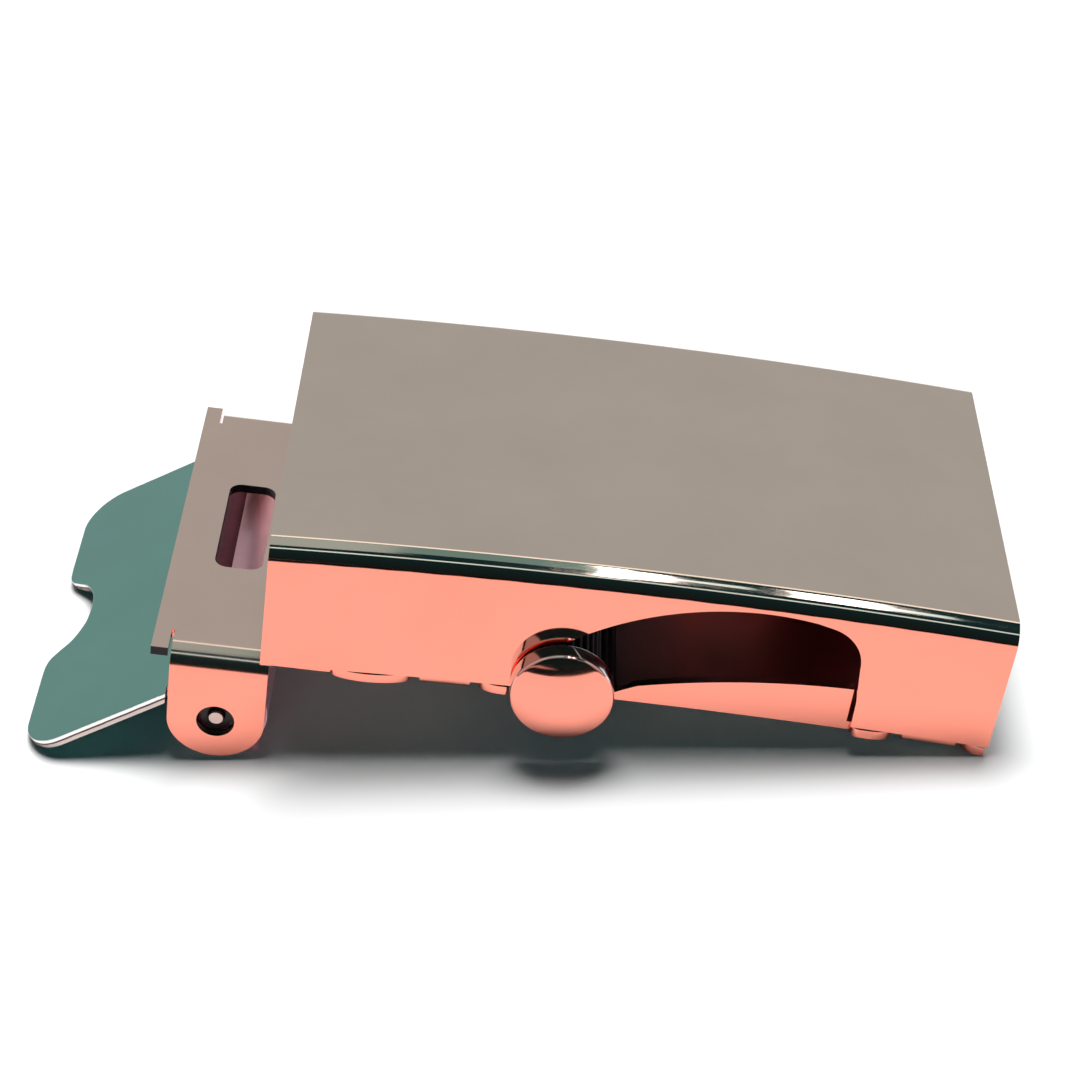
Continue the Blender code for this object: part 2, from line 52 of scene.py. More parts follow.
# Sizes read from the frame.
CASE_LOW, CASE_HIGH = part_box("case")
BRACKET_LOW, BRACKET_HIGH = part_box("bracket_plate")
RAMP_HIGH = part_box("ramp_plate")[1]
PIN_LOW, PIN_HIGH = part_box("hinge_pin")
SLEEVE_LOW, SLEEVE_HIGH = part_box("roller_sleeve")
KNOB_LOW, KNOB_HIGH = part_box("knob_far")
CASE_LENGTH = CASE_HIGH.x - CASE_LOW.x
CASE_WIDTH = CASE_HIGH.y - CASE_LOW.y
FACE_TOP = CASE_HIGH.z
HINGE_X = (PIN_LOW.x + PIN_HIGH.x) / 2
HINGE_Z = (PIN_LOW.z + PIN_HIGH.z) / 2
PIN_HALF_LENGTH = PIN_HIGH.y
REST_X = (SLEEVE_LOW.x + SLEEVE_HIGH.x) / 2
REST_Z = (SLEEVE_LOW.z + SLEEVE_HIGH.z) / 2
SLEEVE_END = SLEEVE_HIGH.y
KNOB_RADIUS = (KNOB_HIGH.x - KNOB_LOW.x) / 2
KNOB_INNER = KNOB_LOW.y
KNOB_THICKNESS = KNOB_HIGH.y - KNOB_LOW.y

# Case.
CASE_SHEET = 0.6 * MM
CASE_BEND = 2.2 * MM
WALL_FOOT = 0.25 * MM
BOW = 0.95 * MM
TABS = ((-18.9 * MM, -14.35 * MM), (25.3 * MM, 30.3 * MM))
TAB_REACH = 3.2 * MM
TAB_BOTTOM = -1.1 * MM
TAB_BEND = 2.0 * MM
TAB_NOTCH = 0.8 * MM
POCKET_CEILING = -0.36 * MM
POCKET_INNER = 17.0 * MM

# Back plates.
PLATE_SHEET = 0.9 * MM
PLATE_INSIDE = 19.5 * MM
PLATE_AT_TAB = 18.6 * MM
PLATE_TONGUE = BRACKET_HIGH.y
TONGUE_DEPTH = 1.1 * MM
BRACKET_TIP = 19.8 * MM
BOW_END = -27.0 * MM
EAR_RADIUS = 4.45 * MM
EAR_DROP = 4.1 * MM
EAR_OUTSIDE = 20.2 * MM
EAR_BEND = 2.2 * MM
RELIEF_WIDTH = 0.25 * MM
RELIEF_DEPTH = 0.9 * MM
SLOT_WIDTH = 4.5 * MM
SLOT_LENGTH = 13.6 * MM
SLOT_CORNER = 1.2 * MM
HINGE_HOLE = 1.75 * MM
PIN_RADIUS = 1.68 * MM
PIN_NIB = 0.8 * MM
PIN_RECESS = 0.55 * MM

# Roller's path, ramps and windows.
TRAVEL_X = 12.21 * MM
TRAVEL_Z = -23.41 * MM
TRAVEL_RANGE = 38.0
ROLLER_RADIUS = 3.5 * MM
ROLLER_BORE = 1.58 * MM
RAMP_X = 20.14 * MM
RAMP_Z = -75.06 * MM
RAMP_RADIUS = 78.43 * MM
RAMP_GAP = 0.3 * MM
RAMP_START = -4.6 * MM
RAMP_TOE = -2.0 * MM
RAMP_END = 20.2 * MM
WINDOW_LEFT_RADIUS = 4.25 * MM
ROOF_X = 10.6 * MM
ROOF_Z = -16.5 * MM
ROOF_RADIUS = 28.0 * MM
CORNER_X = 15.75 * MM
CORNER_Z = 6.6 * MM
CORNER_RADIUS = 4.25 * MM
JAMB_X = 20.4 * MM
JAMB_Z = 2.75 * MM
WINDOW_RIGHT = 20.5 * MM

# Roller and knobs.
FLUTES = 28
FLUTE_DEPTH = 0.2 * MM
KNOB_CURVE = 11.0 * MM
KNOB_EDGE = 0.35 * MM
KNOB_BACK_EDGE = 0.3 * MM
KNOB_BORE = 1.2 * MM
KNOB_BORE_DEPTH = 1.7 * MM

# Lever.
LEVER_OPEN = math.radians(34.7)
LEVER_UP = Vector((-math.sin(LEVER_OPEN), 0.0, math.cos(LEVER_OPEN)))
LEVER_SHEET = 1.0 * MM
LEVER_HEIGHT = 4.65 * MM
LEVER_REACH = 18.5 * MM
LEVER_HALF_WIDTH = 19.9 * MM
LEVER_CORNER = 4.3 * MM
JAW_HALF_WIDTH = 18.9 * MM
JAW_TOOTH = 6.1 * MM
TOOTH_PITCH = 2.6 * MM
TOOTH_DEPTH = 0.9 * MM
LUG_RADIUS = 4.2 * MM
EAR_CLEARANCE = 0.25 * MM
NOTCH = ((0.0, 14.5), (2.2, 14.75), (4.3, 15.8), (5.4, 17.1), (6.2, 18.0), (7.2, 18.4))

# Ways to stand a shape that is drawn flat.
UPRIGHT = Matrix.Identity(4)
ALONG_Y = Matrix.Rotation(math.pi / 2, 4, "X")
ALONG_X = Matrix.Rotation(math.pi / 2, 4, "Z") @ Matrix.Rotation(math.pi / 2, 4, "X")
SHEET_EDGE = 0.14 * MM

# Camera and floor.
CAMERA_PLACE = (-22.11 * MM, -199.28 * MM, 145.12 * MM)
CAMERA_TURN = (math.radians(54.008), math.radians(-7.260), math.radians(1.403))
CAMERA_LENS = 85.09
FLOOR_SIZE = 2.4
FLAG_EDGE = -110 * MM
FLAG_DEPTH = 1.0
FLAG_WIDTH = 2.0
FLAG_LIFT = 0.5 * MM
FLAG_COLOR = (0.004, 0.010, 0.012)
WHITE = (1.0, 1.0, 1.0)
LIGHT_AIM = (0.0, -0.02, 0.0)
OVERHEAD_PLACE = (0.0, 0.12, 0.85)
OVERHEAD_SIZE = (0.45, 0.40)
OVERHEAD_POWER = 15.2
FILL_PLACE = (0.0, -0.7, 0.25)
FILL_SIZE = (0.9, 0.3)
FILL_COLOR = (0.15, 0.85, 1.0)
FILL_POWER = 0.6

# How far the jaw's plating reaches from the hinge towards the lever, and its bright part.
JAW_SPAN = 4.0 * MM
JAW_BRIGHT = 0.9 * MM

# Painted highlight and reflection lines, light and dark, along the lever's cut edge, from its underside
# (0.0) to its upper side (1.0).
LEVER_EDGE_PAINTED_LINES = (
    (0.0, (0.30, 0.22, 0.20)),
    (0.12, (0.66, 0.54, 0.50)),
    (0.40, (0.60, 0.48, 0.44)),
    (0.48, (0.06, 0.03, 0.03)),
    (0.58, (0.06, 0.03, 0.03)),
    (0.66, (0.98, 0.95, 0.92)),
    (0.90, (0.98, 0.95, 0.92)),
    (1.0, (0.40, 0.46, 0.44)),
)

SKY_COLOR = (0.462, 0.463, 0.453)

# Cards: distance, color, strength, then left, right, low and high limits.
SCREEN_COLOR = (0.006, 0.026, 0.030)
CARDS = (
    ("screen_low", (1.8, SCREEN_COLOR, 1.0, -0.55, 0.55, -1.0, 28.0)),
    ("screen_front", (1.8, SCREEN_COLOR, 1.0, -0.55, 0.55, 28.0, 56.0)),
    ("screen_high", (1.8, SCREEN_COLOR, 1.0, -0.55, 0.55, 56.0, 82.0)),
    ("screen_top", (1.8, SCREEN_COLOR, 1.0, -0.55, 0.55, 82.0, 107.0)),
    ("line_low", (1.5, (0.70, 1.0, 1.0), 1.2, -0.6, 0.6, 48.0, 53.0)),
    ("line_high", (1.5, (1.0, 0.92, 0.82), 1.3, -0.6, 0.6, 108.0, 115.0)),
    ("grey_left", (1.5, (0.42, 0.48, 0.45), 1.0, -0.6, -0.07, 64.0, 106.0)),
    ("grey_middle", (1.5, (0.18, 0.30, 0.28), 1.0, -0.07, 0.06, 72.0, 106.0)),
    ("glint_first", (1.5, WHITE, 5.0, 0.060, 0.082, 56.0, 104.0)),
    ("glint_second", (1.5, WHITE, 5.0, 0.090, 0.106, 60.0, 100.0)),
    ("glint_pieces", (1.5, (0.8, 1.0, 0.95), 1.2, 0.112, 0.165, 74.0, 88.0)),
    ("glint_third", (1.5, WHITE, 4.0, 0.19, 0.25, 66.0, 98.0)),
    ("glint_tail", (1.5, (0.8, 1.0, 1.0), 1.2, 0.25, 0.30, 72.0, 84.0)),
)


def link(name, data, matrix=UPRIGHT):
    item = bpy.data.objects.new(name, data)
    item.matrix_world = matrix
    bpy.context.scene.collection.objects.link(item)
    return item


def evaluated_mesh(item):
    source = item.evaluated_get(bpy.context.evaluated_depsgraph_get())
    return bpy.data.meshes.new_from_object(source)


def ellipse(center_x, center_y, radius_x, radius_y, start, end, steps):
    """Points along part of an ellipse, angles in degrees."""
    points = []
    for step in range(steps + 1):
        angle = math.radians(start + (end - start) * step / steps)
        points.append((center_x + radius_x * math.cos(angle), center_y + radius_y * math.sin(angle)))
    return points


def arc(center_x, center_y, radius, start, end, steps):
    return ellipse(center_x, center_y, radius, radius, start, end, steps)


def circle(center_x, center_y, radius, steps):
    return arc(center_x, center_y, radius, 0, 360 - 360 / steps, steps - 1)


def mirrored(half):
    """Close an outline from its +Y half."""
    return half + [(x, -y) for x, y in reversed(half) if y > 0.0]


def prism(name, outlines, low, high, stand=UPRIGHT, matrix=UPRIGHT):
    """A flat outline, with any holes, filled and extruded from low to high."""
    curve = bpy.data.curves.new(name, "CURVE")
    curve.dimensions = "2D"
    curve.fill_mode = "BOTH"
    curve.extrude = (high - low) / 2
    for outline in outlines:
        spline = curve.splines.new("POLY")
        spline.points.add(len(outline) - 1)
        for point, (x, y) in zip(spline.points, outline):
            point.co = (x, y, 0.0, 1.0)
        spline.use_cyclic_u = True
    place = matrix @ stand @ Matrix.Translation((0.0, 0.0, (high + low) / 2))
    guide = link(name + "_outline", curve, place)
    mesh = evaluated_mesh(guide)
    bpy.data.objects.remove(guide, do_unlink=True)
    shape = bmesh.new()
    shape.from_mesh(mesh)
    bmesh.ops.remove_doubles(shape, verts=shape.verts, dist=0.001 * MM)
    bmesh.ops.recalc_face_normals(shape, faces=shape.faces)
    shape.to_mesh(mesh)
    shape.free()
    return link(name, mesh, place)


def cut(item, tools, operation="DIFFERENCE"):
    """Boolean with each tool in turn; the tools are used up."""
    for tool in tools:
        modifier = item.modifiers.new(operation.lower(), "BOOLEAN")
        modifier.operation = operation
        modifier.solver = "EXACT"
        modifier.object = tool
    mesh = evaluated_mesh(item)
    item.modifiers.clear()
    item.data = mesh
    for tool in tools:
        bpy.data.objects.remove(tool, do_unlink=True)
    return item


def clean(item):
    """Merge the flat facets that Booleans leave, so that bevels and shading run clean."""
    shape = bmesh.new()
    shape.from_mesh(item.data)
    bmesh.ops.remove_doubles(shape, verts=shape.verts, dist=0.002 * MM)
    flat = math.radians(0.05)
    bmesh.ops.dissolve_limit(shape, angle_limit=flat, verts=shape.verts, edges=shape.edges)
    shape.to_mesh(item.data)
    shape.free()


def round_edges(item, width, segments=3, angle=40):
    """Round every sharp edge and shade the rest smooth."""
    bevel = item.modifiers.new("edges", "BEVEL")
    bevel.width = width
    bevel.segments = segments
    bevel.limit_method = "ANGLE"
    bevel.angle_limit = math.radians(angle)
    bevel.miter_outer = "MITER_ARC"
    bevel.use_clamp_overlap = True
    item.data = evaluated_mesh(item)
    item.modifiers.clear()
    item.data.shade_smooth()
    item.data.set_sharp_from_angle(angle=math.radians(angle))
    weighted = item.modifiers.new("normals", "WEIGHTED_NORMAL")
    weighted.keep_sharp = True
    weighted.weight = 80
    return item


def turned(name, profile, steps, matrix):
    """Revolve an (r, z) profile, which runs from the top of the axis down its outer side."""
    mesh = bpy.data.meshes.new(name)
    edges = [(index, index + 1) for index in range(len(profile) - 1)]
    mesh.from_pydata([(r, 0.0, z) for r, z in profile], edges, [])
    item = link(name, mesh, matrix)
    screw = item.modifiers.new("revolve", "SCREW")
    screw.steps = steps
    screw.render_steps = steps
    screw.use_merge_vertices = True
    screw.merge_threshold = 0.001 * MM
    item.data = evaluated_mesh(item)
    item.modifiers.clear()
    item.data.shade_smooth()
    item.data.set_sharp_from_angle(angle=math.radians(38))
    return item


def curved_sheet(name, columns, rows, place, keep, thickness):
    """A grid of the given stations, bent by place(column, row), with Solidify behind it."""
    shape = bmesh.new()
    last_column = len(columns) - 1
    last_row = len(rows) - 1
    bmesh.ops.create_grid(shape, x_segments=last_column, y_segments=last_row, size=1.0)
    unwanted = []
    for face in shape.faces:
        center = face.calc_center_median()
        column = int((center.x + 1.0) / 2.0 * last_column)
        row = int((center.y + 1.0) / 2.0 * last_row)
        if not keep(column, row):
            unwanted.append(face)
    bmesh.ops.delete(shape, geom=unwanted, context="FACES")
    for vertex in shape.verts:
        column = round((vertex.co.x + 1.0) / 2.0 * last_column)
        row = round((vertex.co.y + 1.0) / 2.0 * last_row)
        vertex.co = place(columns[column], rows[row])
    mesh = bpy.data.meshes.new(name)
    shape.to_mesh(mesh)
    shape.free()
    item = link(name, mesh)
    solidify = item.modifiers.new("sheet", "SOLIDIFY")
    solidify.thickness = thickness
    solidify.offset = -1.0
    solidify.use_even_offset = True
    return item


def stations(marks, spacing):
    """The marks, with evenly spaced stations between them."""
    result = [marks[0]]
    for low, high in zip(marks, marks[1:]):
        count = max(1, round((high - low) / spacing))
        for step in range(1, count + 1):
            result.append(low + (high - low) * step / count)
    return result


def bow(x):
    """How far the case has curved down at x."""
    return BOW * (2.0 * x / CASE_LENGTH) ** 2


def bed_drop(x):
    """The plates follow the case's bow, and run level from BOW_END to the bracket's end."""
    return bow(max(x, BOW_END))


# ---------------------------------------------------------------- case


def window_outline():
    deep = -4.0 * MM
    left = arc(REST_X, REST_Z, WINDOW_LEFT_RADIUS, 215, 99.6, 24)
    roof = arc(ROOF_X, ROOF_Z, ROOF_RADIUS, 128, 80.2, 40)
    corner = arc(CORNER_X, CORNER_Z, CORNER_RADIUS, 76, 0, 18)
    jamb = [(JAMB_X, JAMB_Z), (WINDOW_RIGHT, deep)]
    return [(left[0][0], deep)] + left + roof + corner + jamb


def make_case():
    half_width = CASE_WIDTH / 2
    fold = half_width - TAB_BEND
    side = [(-fold + TAB_REACH - TAB_BEND, TAB_BOTTOM)]
    side += ellipse(-fold, WALL_FOOT, TAB_BEND, WALL_FOOT - TAB_BOTTOM, 270, 180, 10)
    fold_rows = len(side) - 1
    bend = half_width - CASE_BEND
    side += arc(-bend, FACE_TOP - CASE_BEND, CASE_BEND, 180, 90, 14)
    profile = side + [(-y, z) for y, z in reversed(side)]
    marks = [-CASE_LENGTH / 2, TABS[0][0], TABS[0][1], TABS[1][0], TABS[1][1], CASE_LENGTH / 2]
    columns = stations(marks, 2.2 * MM)
    last_row = len(profile) - 2

    def keep(column, row):
        in_fold = row < fold_rows or row > last_row - fold_rows
        middle = (columns[column] + columns[column + 1]) / 2
        return not in_fold or any(low < middle < high for low, high in TABS)

    def place(x, point):
        return (x, point[0], point[1] - bow(x))

    case = curved_sheet("case_shell", columns, profile, place, keep, CASE_SHEET)
    reach = half_width * 1.2
    cut(case, [prism("window", [window_outline()], -reach, reach, ALONG_Y)])
    clean(case)
    return round_edges(case, SHEET_EDGE)


# ---------------------------------------------------------------- back plates


def blanked_bed(name, plan, left, right):
    """A back plate's bed: the bowed sheet, cut to its plan outline."""
    columns = stations([left - MM, right + MM], 2.0 * MM)
    rows = [-CASE_WIDTH, CASE_WIDTH]

    def place(x, y):
        return (x, y, -bed_drop(x))

    bed = curved_sheet(name, columns, rows, place, lambda column, row: True, PLATE_SHEET)
    return cut(bed, [prism(name + "_blank", [mirrored(plan)], -10 * MM, 10 * MM)], "INTERSECT")


def pockets(tab):
    """Tools that thin a plate from below where a pair of tabs lies against it."""
    left = tab[0] - TAB_NOTCH
    right = tab[1] + TAB_NOTCH
    deep = -3.0 * MM
    ceiling = [(left, POCKET_CEILING - bow(left)), (right, POCKET_CEILING - bow(right))]
    outline = ceiling + [(right, deep), (left, deep)]
    tools = []
    for side in (-1, 1):
        start, end = sorted((side * POCKET_INNER, side * CASE_WIDTH))
        tools.append(prism("pocket", [outline], start, end, ALONG_Y))
    return tools


def tongue(left, right, left_run, right_run):
    """The +Y edge of a stretch of plate that comes out under the wall's foot in a long curve."""
    level = PLATE_TONGUE - TONGUE_DEPTH
    start = ellipse(left + left_run, level, left_run, TONGUE_DEPTH, 180, 90, 12)
    end = ellipse(right - right_run, level, right_run, TONGUE_DEPTH, 90, 0, 12)
    return start + end


def ear_strap(side):
    """The strip that comes off the bracket's edge and is folded down, with a round end."""
    top = -bed_drop(BRACKET_LOW.x)
    flat = EAR_OUTSIDE - EAR_BEND
    inner = EAR_BEND - PLATE_SHEET
    foot = HINGE_Z - EAR_RADIUS - MM
    root = flat - 2.5 * MM
    outline = [(root, top)] + arc(flat, top - EAR_BEND, EAR_BEND, 90, 0, 14)
    outline += [(EAR_OUTSIDE, foot), (EAR_OUTSIDE - PLATE_SHEET, foot)]
    outline += arc(flat, top - EAR_BEND, inner, 0, 90, 14) + [(root, top - PLATE_SHEET)]
    outline = [(side * y, z) for y, z in outline]
    left = HINGE_X - EAR_RADIUS
    right = HINGE_X + EAR_RADIUS
    strap = prism("strap", [outline], left, right, ALONG_X)
    rounded = ellipse(HINGE_X, HINGE_Z, EAR_RADIUS, EAR_DROP, 180, 360, 48)
    rounded = [(left - MM, 2 * MM), (left - MM, HINGE_Z), *rounded]
    rounded += [(right + MM, HINGE_Z), (right + MM, 2 * MM)]
    return cut(strap, [prism("die", [rounded], -25 * MM, 25 * MM, ALONG_Y)], "INTERSECT")


def rounded_slot(length_x, length_y, corner):
    x = length_x / 2 - corner
    y = length_y / 2 - corner
    outline = arc(x, y, corner, 0, 90, 8) + arc(-x, y, corner, 90, 180, 8)
    return outline + arc(-x, -y, corner, 180, 270, 8) + arc(x, -y, corner, 270, 360, 8)


def make_bracket_plate():
    ear_left = HINGE_X - EAR_RADIUS
    ear_right = HINGE_X + EAR_RADIUS
    bend_line = EAR_OUTSIDE - EAR_BEND
    relief = bend_line - RELIEF_DEPTH
    notch_left = TABS[0][0] - TAB_NOTCH
    notch_right = TABS[0][1] + TAB_NOTCH
    middle_run = (notch_left - BOW_END) / 2
    plan = [(BRACKET_LOW.x, 0.0), (BRACKET_LOW.x, BRACKET_TIP)]
    plan += [(ear_left - RELIEF_WIDTH, BRACKET_TIP), (ear_left - RELIEF_WIDTH, relief)]
    plan += [(ear_left, relief), (ear_left, bend_line - 0.1 * MM)]
    plan += [(ear_right, bend_line - 0.1 * MM), (ear_right, relief)]
    plan += [(ear_right + RELIEF_WIDTH, relief), (ear_right + RELIEF_WIDTH, PLATE_INSIDE)]
    plan += [(BOW_END, PLATE_INSIDE)] + tongue(BOW_END, notch_left, middle_run, middle_run)
    plan += [(notch_left, PLATE_AT_TAB), (notch_right, PLATE_AT_TAB)]
    plan += tongue(notch_right, BRACKET_HIGH.x, 2.2 * MM, 0.5 * MM) + [(BRACKET_HIGH.x, 0.0)]
    plate = blanked_bed("bracket_and_ears", plan, BRACKET_LOW.x, BRACKET_HIGH.x)
    cut(plate, [ear_strap(-1), ear_strap(1)], "UNION")
    at_slot = Matrix.Translation((HINGE_X, 0.0, 0.0))
    slot_outline = rounded_slot(SLOT_WIDTH, SLOT_LENGTH, SLOT_CORNER)
    slot = prism("slot", [slot_outline], -5 * MM, 5 * MM, UPRIGHT, at_slot)
    hole_outline = circle(HINGE_X, HINGE_Z, HINGE_HOLE, 64)
    hole = prism("hole", [hole_outline], -25 * MM, 25 * MM, ALONG_Y)
    cut(plate, pockets(TABS[0]) + [slot, hole])
    clean(plate)
    return round_edges(plate, SHEET_EDGE)


def roller_sweep_outline():
    """The room that the roller needs along its whole travel, in (x, z)."""
    room = ROLLER_RADIUS + RAMP_GAP
    radius = math.hypot(REST_X - TRAVEL_X, REST_Z - TRAVEL_Z)
    start = math.degrees(math.atan2(REST_Z - TRAVEL_Z, REST_X - TRAVEL_X))
    end = start - TRAVEL_RANGE
    far_x = TRAVEL_X + radius * math.cos(math.radians(end))
    far_z = TRAVEL_Z + radius * math.sin(math.radians(end))
    outline = arc(TRAVEL_X, TRAVEL_Z, radius + room, start, end, 60)
    outline += arc(far_x, far_z, room, end, end - 180, 40)[1:-1]
    outline += arc(TRAVEL_X, TRAVEL_Z, radius - room, end, start, 60)
    return outline + arc(REST_X, REST_Z, room, start + 180, start, 48)[1:-1]


def make_ramp_plate():
    notch_left = TABS[1][0] - TAB_NOTCH
    notch_right = TABS[1][1] + TAB_NOTCH
    right = RAMP_HIGH.x
    plan = [(RAMP_START, 0.0), (RAMP_START, PLATE_INSIDE), (WINDOW_RIGHT, PLATE_INSIDE)]
    plan += tongue(WINDOW_RIGHT, notch_left, 0.8 * MM, 2.0 * MM)
    plan += [(notch_left, PLATE_AT_TAB), (notch_right, PLATE_AT_TAB)]
    plan += tongue(notch_right, right, 1.9 * MM, 0.2 * MM) + [(right, 0.0)]
    plate = blanked_bed("ramps_and_bed", plan, RAMP_START, right)
    start = math.degrees(math.acos((RAMP_TOE - RAMP_X) / RAMP_RADIUS))
    end = math.degrees(math.acos((RAMP_END - RAMP_X) / RAMP_RADIUS))
    buried = -PLATE_SHEET / 2
    outline = arc(RAMP_X, RAMP_Z, RAMP_RADIUS, start, end, 40)
    outline += [(RAMP_END, buried - bow(RAMP_END)), (RAMP_TOE, buried)]
    ramps = []
    for side in (-1, 1):
        low, high = sorted((side * PLATE_INSIDE, side * (PLATE_INSIDE - PLATE_SHEET)))
        ramps.append(prism("ramp", [outline], low, high, ALONG_Y))
    cut(plate, ramps, "UNION")
    room = prism("roller_room", [roller_sweep_outline()], -25 * MM, 25 * MM, ALONG_Y)
    cut(plate, pockets(TABS[1]) + [room])
    clean(plate)
    return round_edges(plate, SHEET_EDGE)


# ---------------------------------------------------------------- lever


def smooth_through(points, steps):
    """A Catmull-Rom curve through the points, level at both ends."""
    padded = [points[0], *points, points[-1]]
    result = []
    for before, start, end, after in zip(padded, padded[1:], padded[2:], padded[3:]):
        a, b, c, d = (Vector(point) for point in (before, start, end, after))
        for step in range(steps):
            t = step / steps
            result.append(
                tuple(
                    0.5 * (2 * b + (c - a) * t + (2 * a - 5 * b + 4 * c - d) * t * t
                           + (3 * b - a - 3 * c + d) * t * t * t)
                )
            )
    return result + [points[-1]]


def lever_plan():
    """The +Y half of the lever's plate, from the notch at -X to the jaw at x = 0."""
    corner_x = -LEVER_REACH + LEVER_CORNER
    corner_y = LEVER_HALF_WIDTH - LEVER_CORNER
    scallop = [(-reach * MM, y * MM) for y, reach in NOTCH] + [(-LEVER_REACH, 8.6 * MM)]
    rounded = arc(corner_x, corner_y, LEVER_CORNER, 180, 90, 24)
    return smooth_through(scallop, 5) + rounded + [(0.0, LEVER_HALF_WIDTH), (0.0, 0.0)]


def jaw_outline():
    """The sheet rolled half round the hinge, ending in a lip that stands outwards."""
    inner = LEVER_HEIGHT - LEVER_SHEET
    lip_angle = -math.degrees(math.acos(LEVER_SHEET / LEVER_HEIGHT))
    outline = [(-0.6 * MM, inner), (-0.6 * MM, LEVER_HEIGHT)]
    outline += arc(0.0, 0.0, LEVER_HEIGHT, 90, lip_angle, 56)
    outline += [(LEVER_SHEET, -JAW_TOOTH), (0.0, -JAW_TOOTH)]
    return outline + arc(0.0, 0.0, inner, -90, 90, 56)


def teeth_outline():
    """A zigzag below the lip's edge, in (y, z)."""
    count = int(JAW_HALF_WIDTH / TOOTH_PITCH) * 2
    first = -count * TOOTH_PITCH / 2
    bottom = -JAW_TOOTH - 1.0 * MM
    outline = [(first, bottom)]
    for tooth in range(count):
        edge = first + tooth * TOOTH_PITCH
        outline.append((edge + 0.15 * TOOTH_PITCH, -JAW_TOOTH - 0.1 * MM))
        outline.append((edge + 0.5 * TOOTH_PITCH, -JAW_TOOTH + TOOTH_DEPTH))
        outline.append((edge + 0.85 * TOOTH_PITCH, -JAW_TOOTH - 0.1 * MM))
    return outline + [(-first, bottom)]


def ear_room_outline():
    """The space in front of an ear's straight edge, in (x, z) of the level lever."""
    left = -EAR_RADIUS - EAR_CLEARANCE
    right = EAR_RADIUS + 2 * MM
    corners = ((left, -8 * MM), (right, -8 * MM), (right, 8 * MM), (left, 8 * MM))
    turn = Matrix.Rotation(-LEVER_OPEN, 2)
    return [tuple(turn @ Vector(corner)) for corner in corners]


def make_lever():
    """The lever is made level, then swung open about the hinge."""
    low = LEVER_HEIGHT - LEVER_SHEET
    lever = prism("lever_and_jaw", [mirrored(lever_plan())], low, LEVER_HEIGHT)
    jaw_end = JAW_HALF_WIDTH + 0.7 * MM
    lug_end = JAW_HALF_WIDTH + 0.4 * MM
    unions = [prism("jaw", [jaw_outline()], -jaw_end, jaw_end, ALONG_Y)]
    rooms = []
    for side in (-1, 1):
        start, end = sorted((side * lug_end, side * (JAW_HALF_WIDTH - LEVER_SHEET)))
        unions.append(prism("lug", [circle(0.0, 0.0, LUG_RADIUS, 64)], start, end, ALONG_Y))
        start, end = sorted((side * JAW_HALF_WIDTH, side * (LEVER_HALF_WIDTH + MM)))
        rooms.append(prism("ear_room", [ear_room_outline()], start, end, ALONG_Y))
    cut(lever, unions, "UNION")
    teeth = prism("teeth", [teeth_outline()], -2 * MM, 3 * MM, ALONG_X)
    hole = prism("lug_hole", [circle(0.0, 0.0, HINGE_HOLE, 64)], -25 * MM, 25 * MM, ALONG_Y)
    cut(lever, rooms + [teeth, hole])
    clean(lever)
    round_edges(lever, 0.2 * MM)
    at_hinge = Matrix.Translation((HINGE_X, 0.0, HINGE_Z))
    swung = at_hinge @ Matrix.Rotation(-LEVER_OPEN, 4, "Y") @ lever.matrix_world
    lever.data.transform(swung)
    lever.matrix_world = UPRIGHT
    return lever


# ---------------------------------------------------------------- turned pieces


def make_pin():
    shoulder = PIN_HALF_LENGTH - PIN_RECESS
    half = [(0.0, PIN_HALF_LENGTH), (PIN_NIB - 0.15 * MM, PIN_HALF_LENGTH)]
    half += [(PIN_NIB, PIN_HALF_LENGTH - 0.15 * MM), (PIN_NIB + 0.05 * MM, shoulder)]
    half += [(PIN_RADIUS - 0.1 * MM, shoulder), (PIN_RADIUS, shoulder - 0.1 * MM)]
    profile = half + [(r, -z) for r, z in reversed(half)]
    place = Matrix.Translation((HINGE_X, 0.0, HINGE_Z)) @ ALONG_Y
    return turned("hinge_pin_turned", profile, 72, place)


def make_sleeve(place):
    steps = FLUTES * 12
    fluted = []
    for step in range(steps):
        angle = 2.0 * math.pi * step / steps
        radius = ROLLER_RADIUS - FLUTE_DEPTH * (0.5 + 0.5 * math.cos(angle * FLUTES)) ** 1.5
        fluted.append((radius * math.cos(angle), radius * math.sin(angle)))
    outlines = [fluted, circle(0.0, 0.0, ROLLER_BORE, 64)]
    sleeve = prism("roller_fluted", outlines, -SLEEVE_END, SLEEVE_END, ALONG_Y, place)
    sleeve.data.shade_smooth()
    sleeve.data.set_sharp_from_angle(angle=math.radians(50))
    return sleeve


def make_knob(name, side, place):
    """A round head whose flat side faces the wall and whose outer face is domed."""
    centre = KNOB_THICKNESS - KNOB_CURVE
    inner = KNOB_CURVE - KNOB_EDGE
    spread = math.degrees(math.asin((KNOB_RADIUS - KNOB_EDGE) / inner))
    edge_level = centre + inner * math.cos(math.radians(spread))
    profile = arc(0.0, centre, KNOB_CURVE, 90, 90 - spread, 24)
    profile += arc(KNOB_RADIUS - KNOB_EDGE, edge_level, KNOB_EDGE, 90 - spread, 0, 8)[1:]
    profile += arc(KNOB_RADIUS - KNOB_BACK_EDGE, KNOB_BACK_EDGE, KNOB_BACK_EDGE, 0, -90, 10)
    profile += [(KNOB_BORE, 0.0), (KNOB_BORE, KNOB_BORE_DEPTH), (0.0, KNOB_BORE_DEPTH)]
    turn = Matrix.Rotation(-side * math.pi / 2, 4, "X")
    outwards = place @ turn @ Matrix.Translation((0.0, 0.0, KNOB_INNER))
    return turned(name, profile, 128, outwards)


# ---------------------------------------------------------------- materials


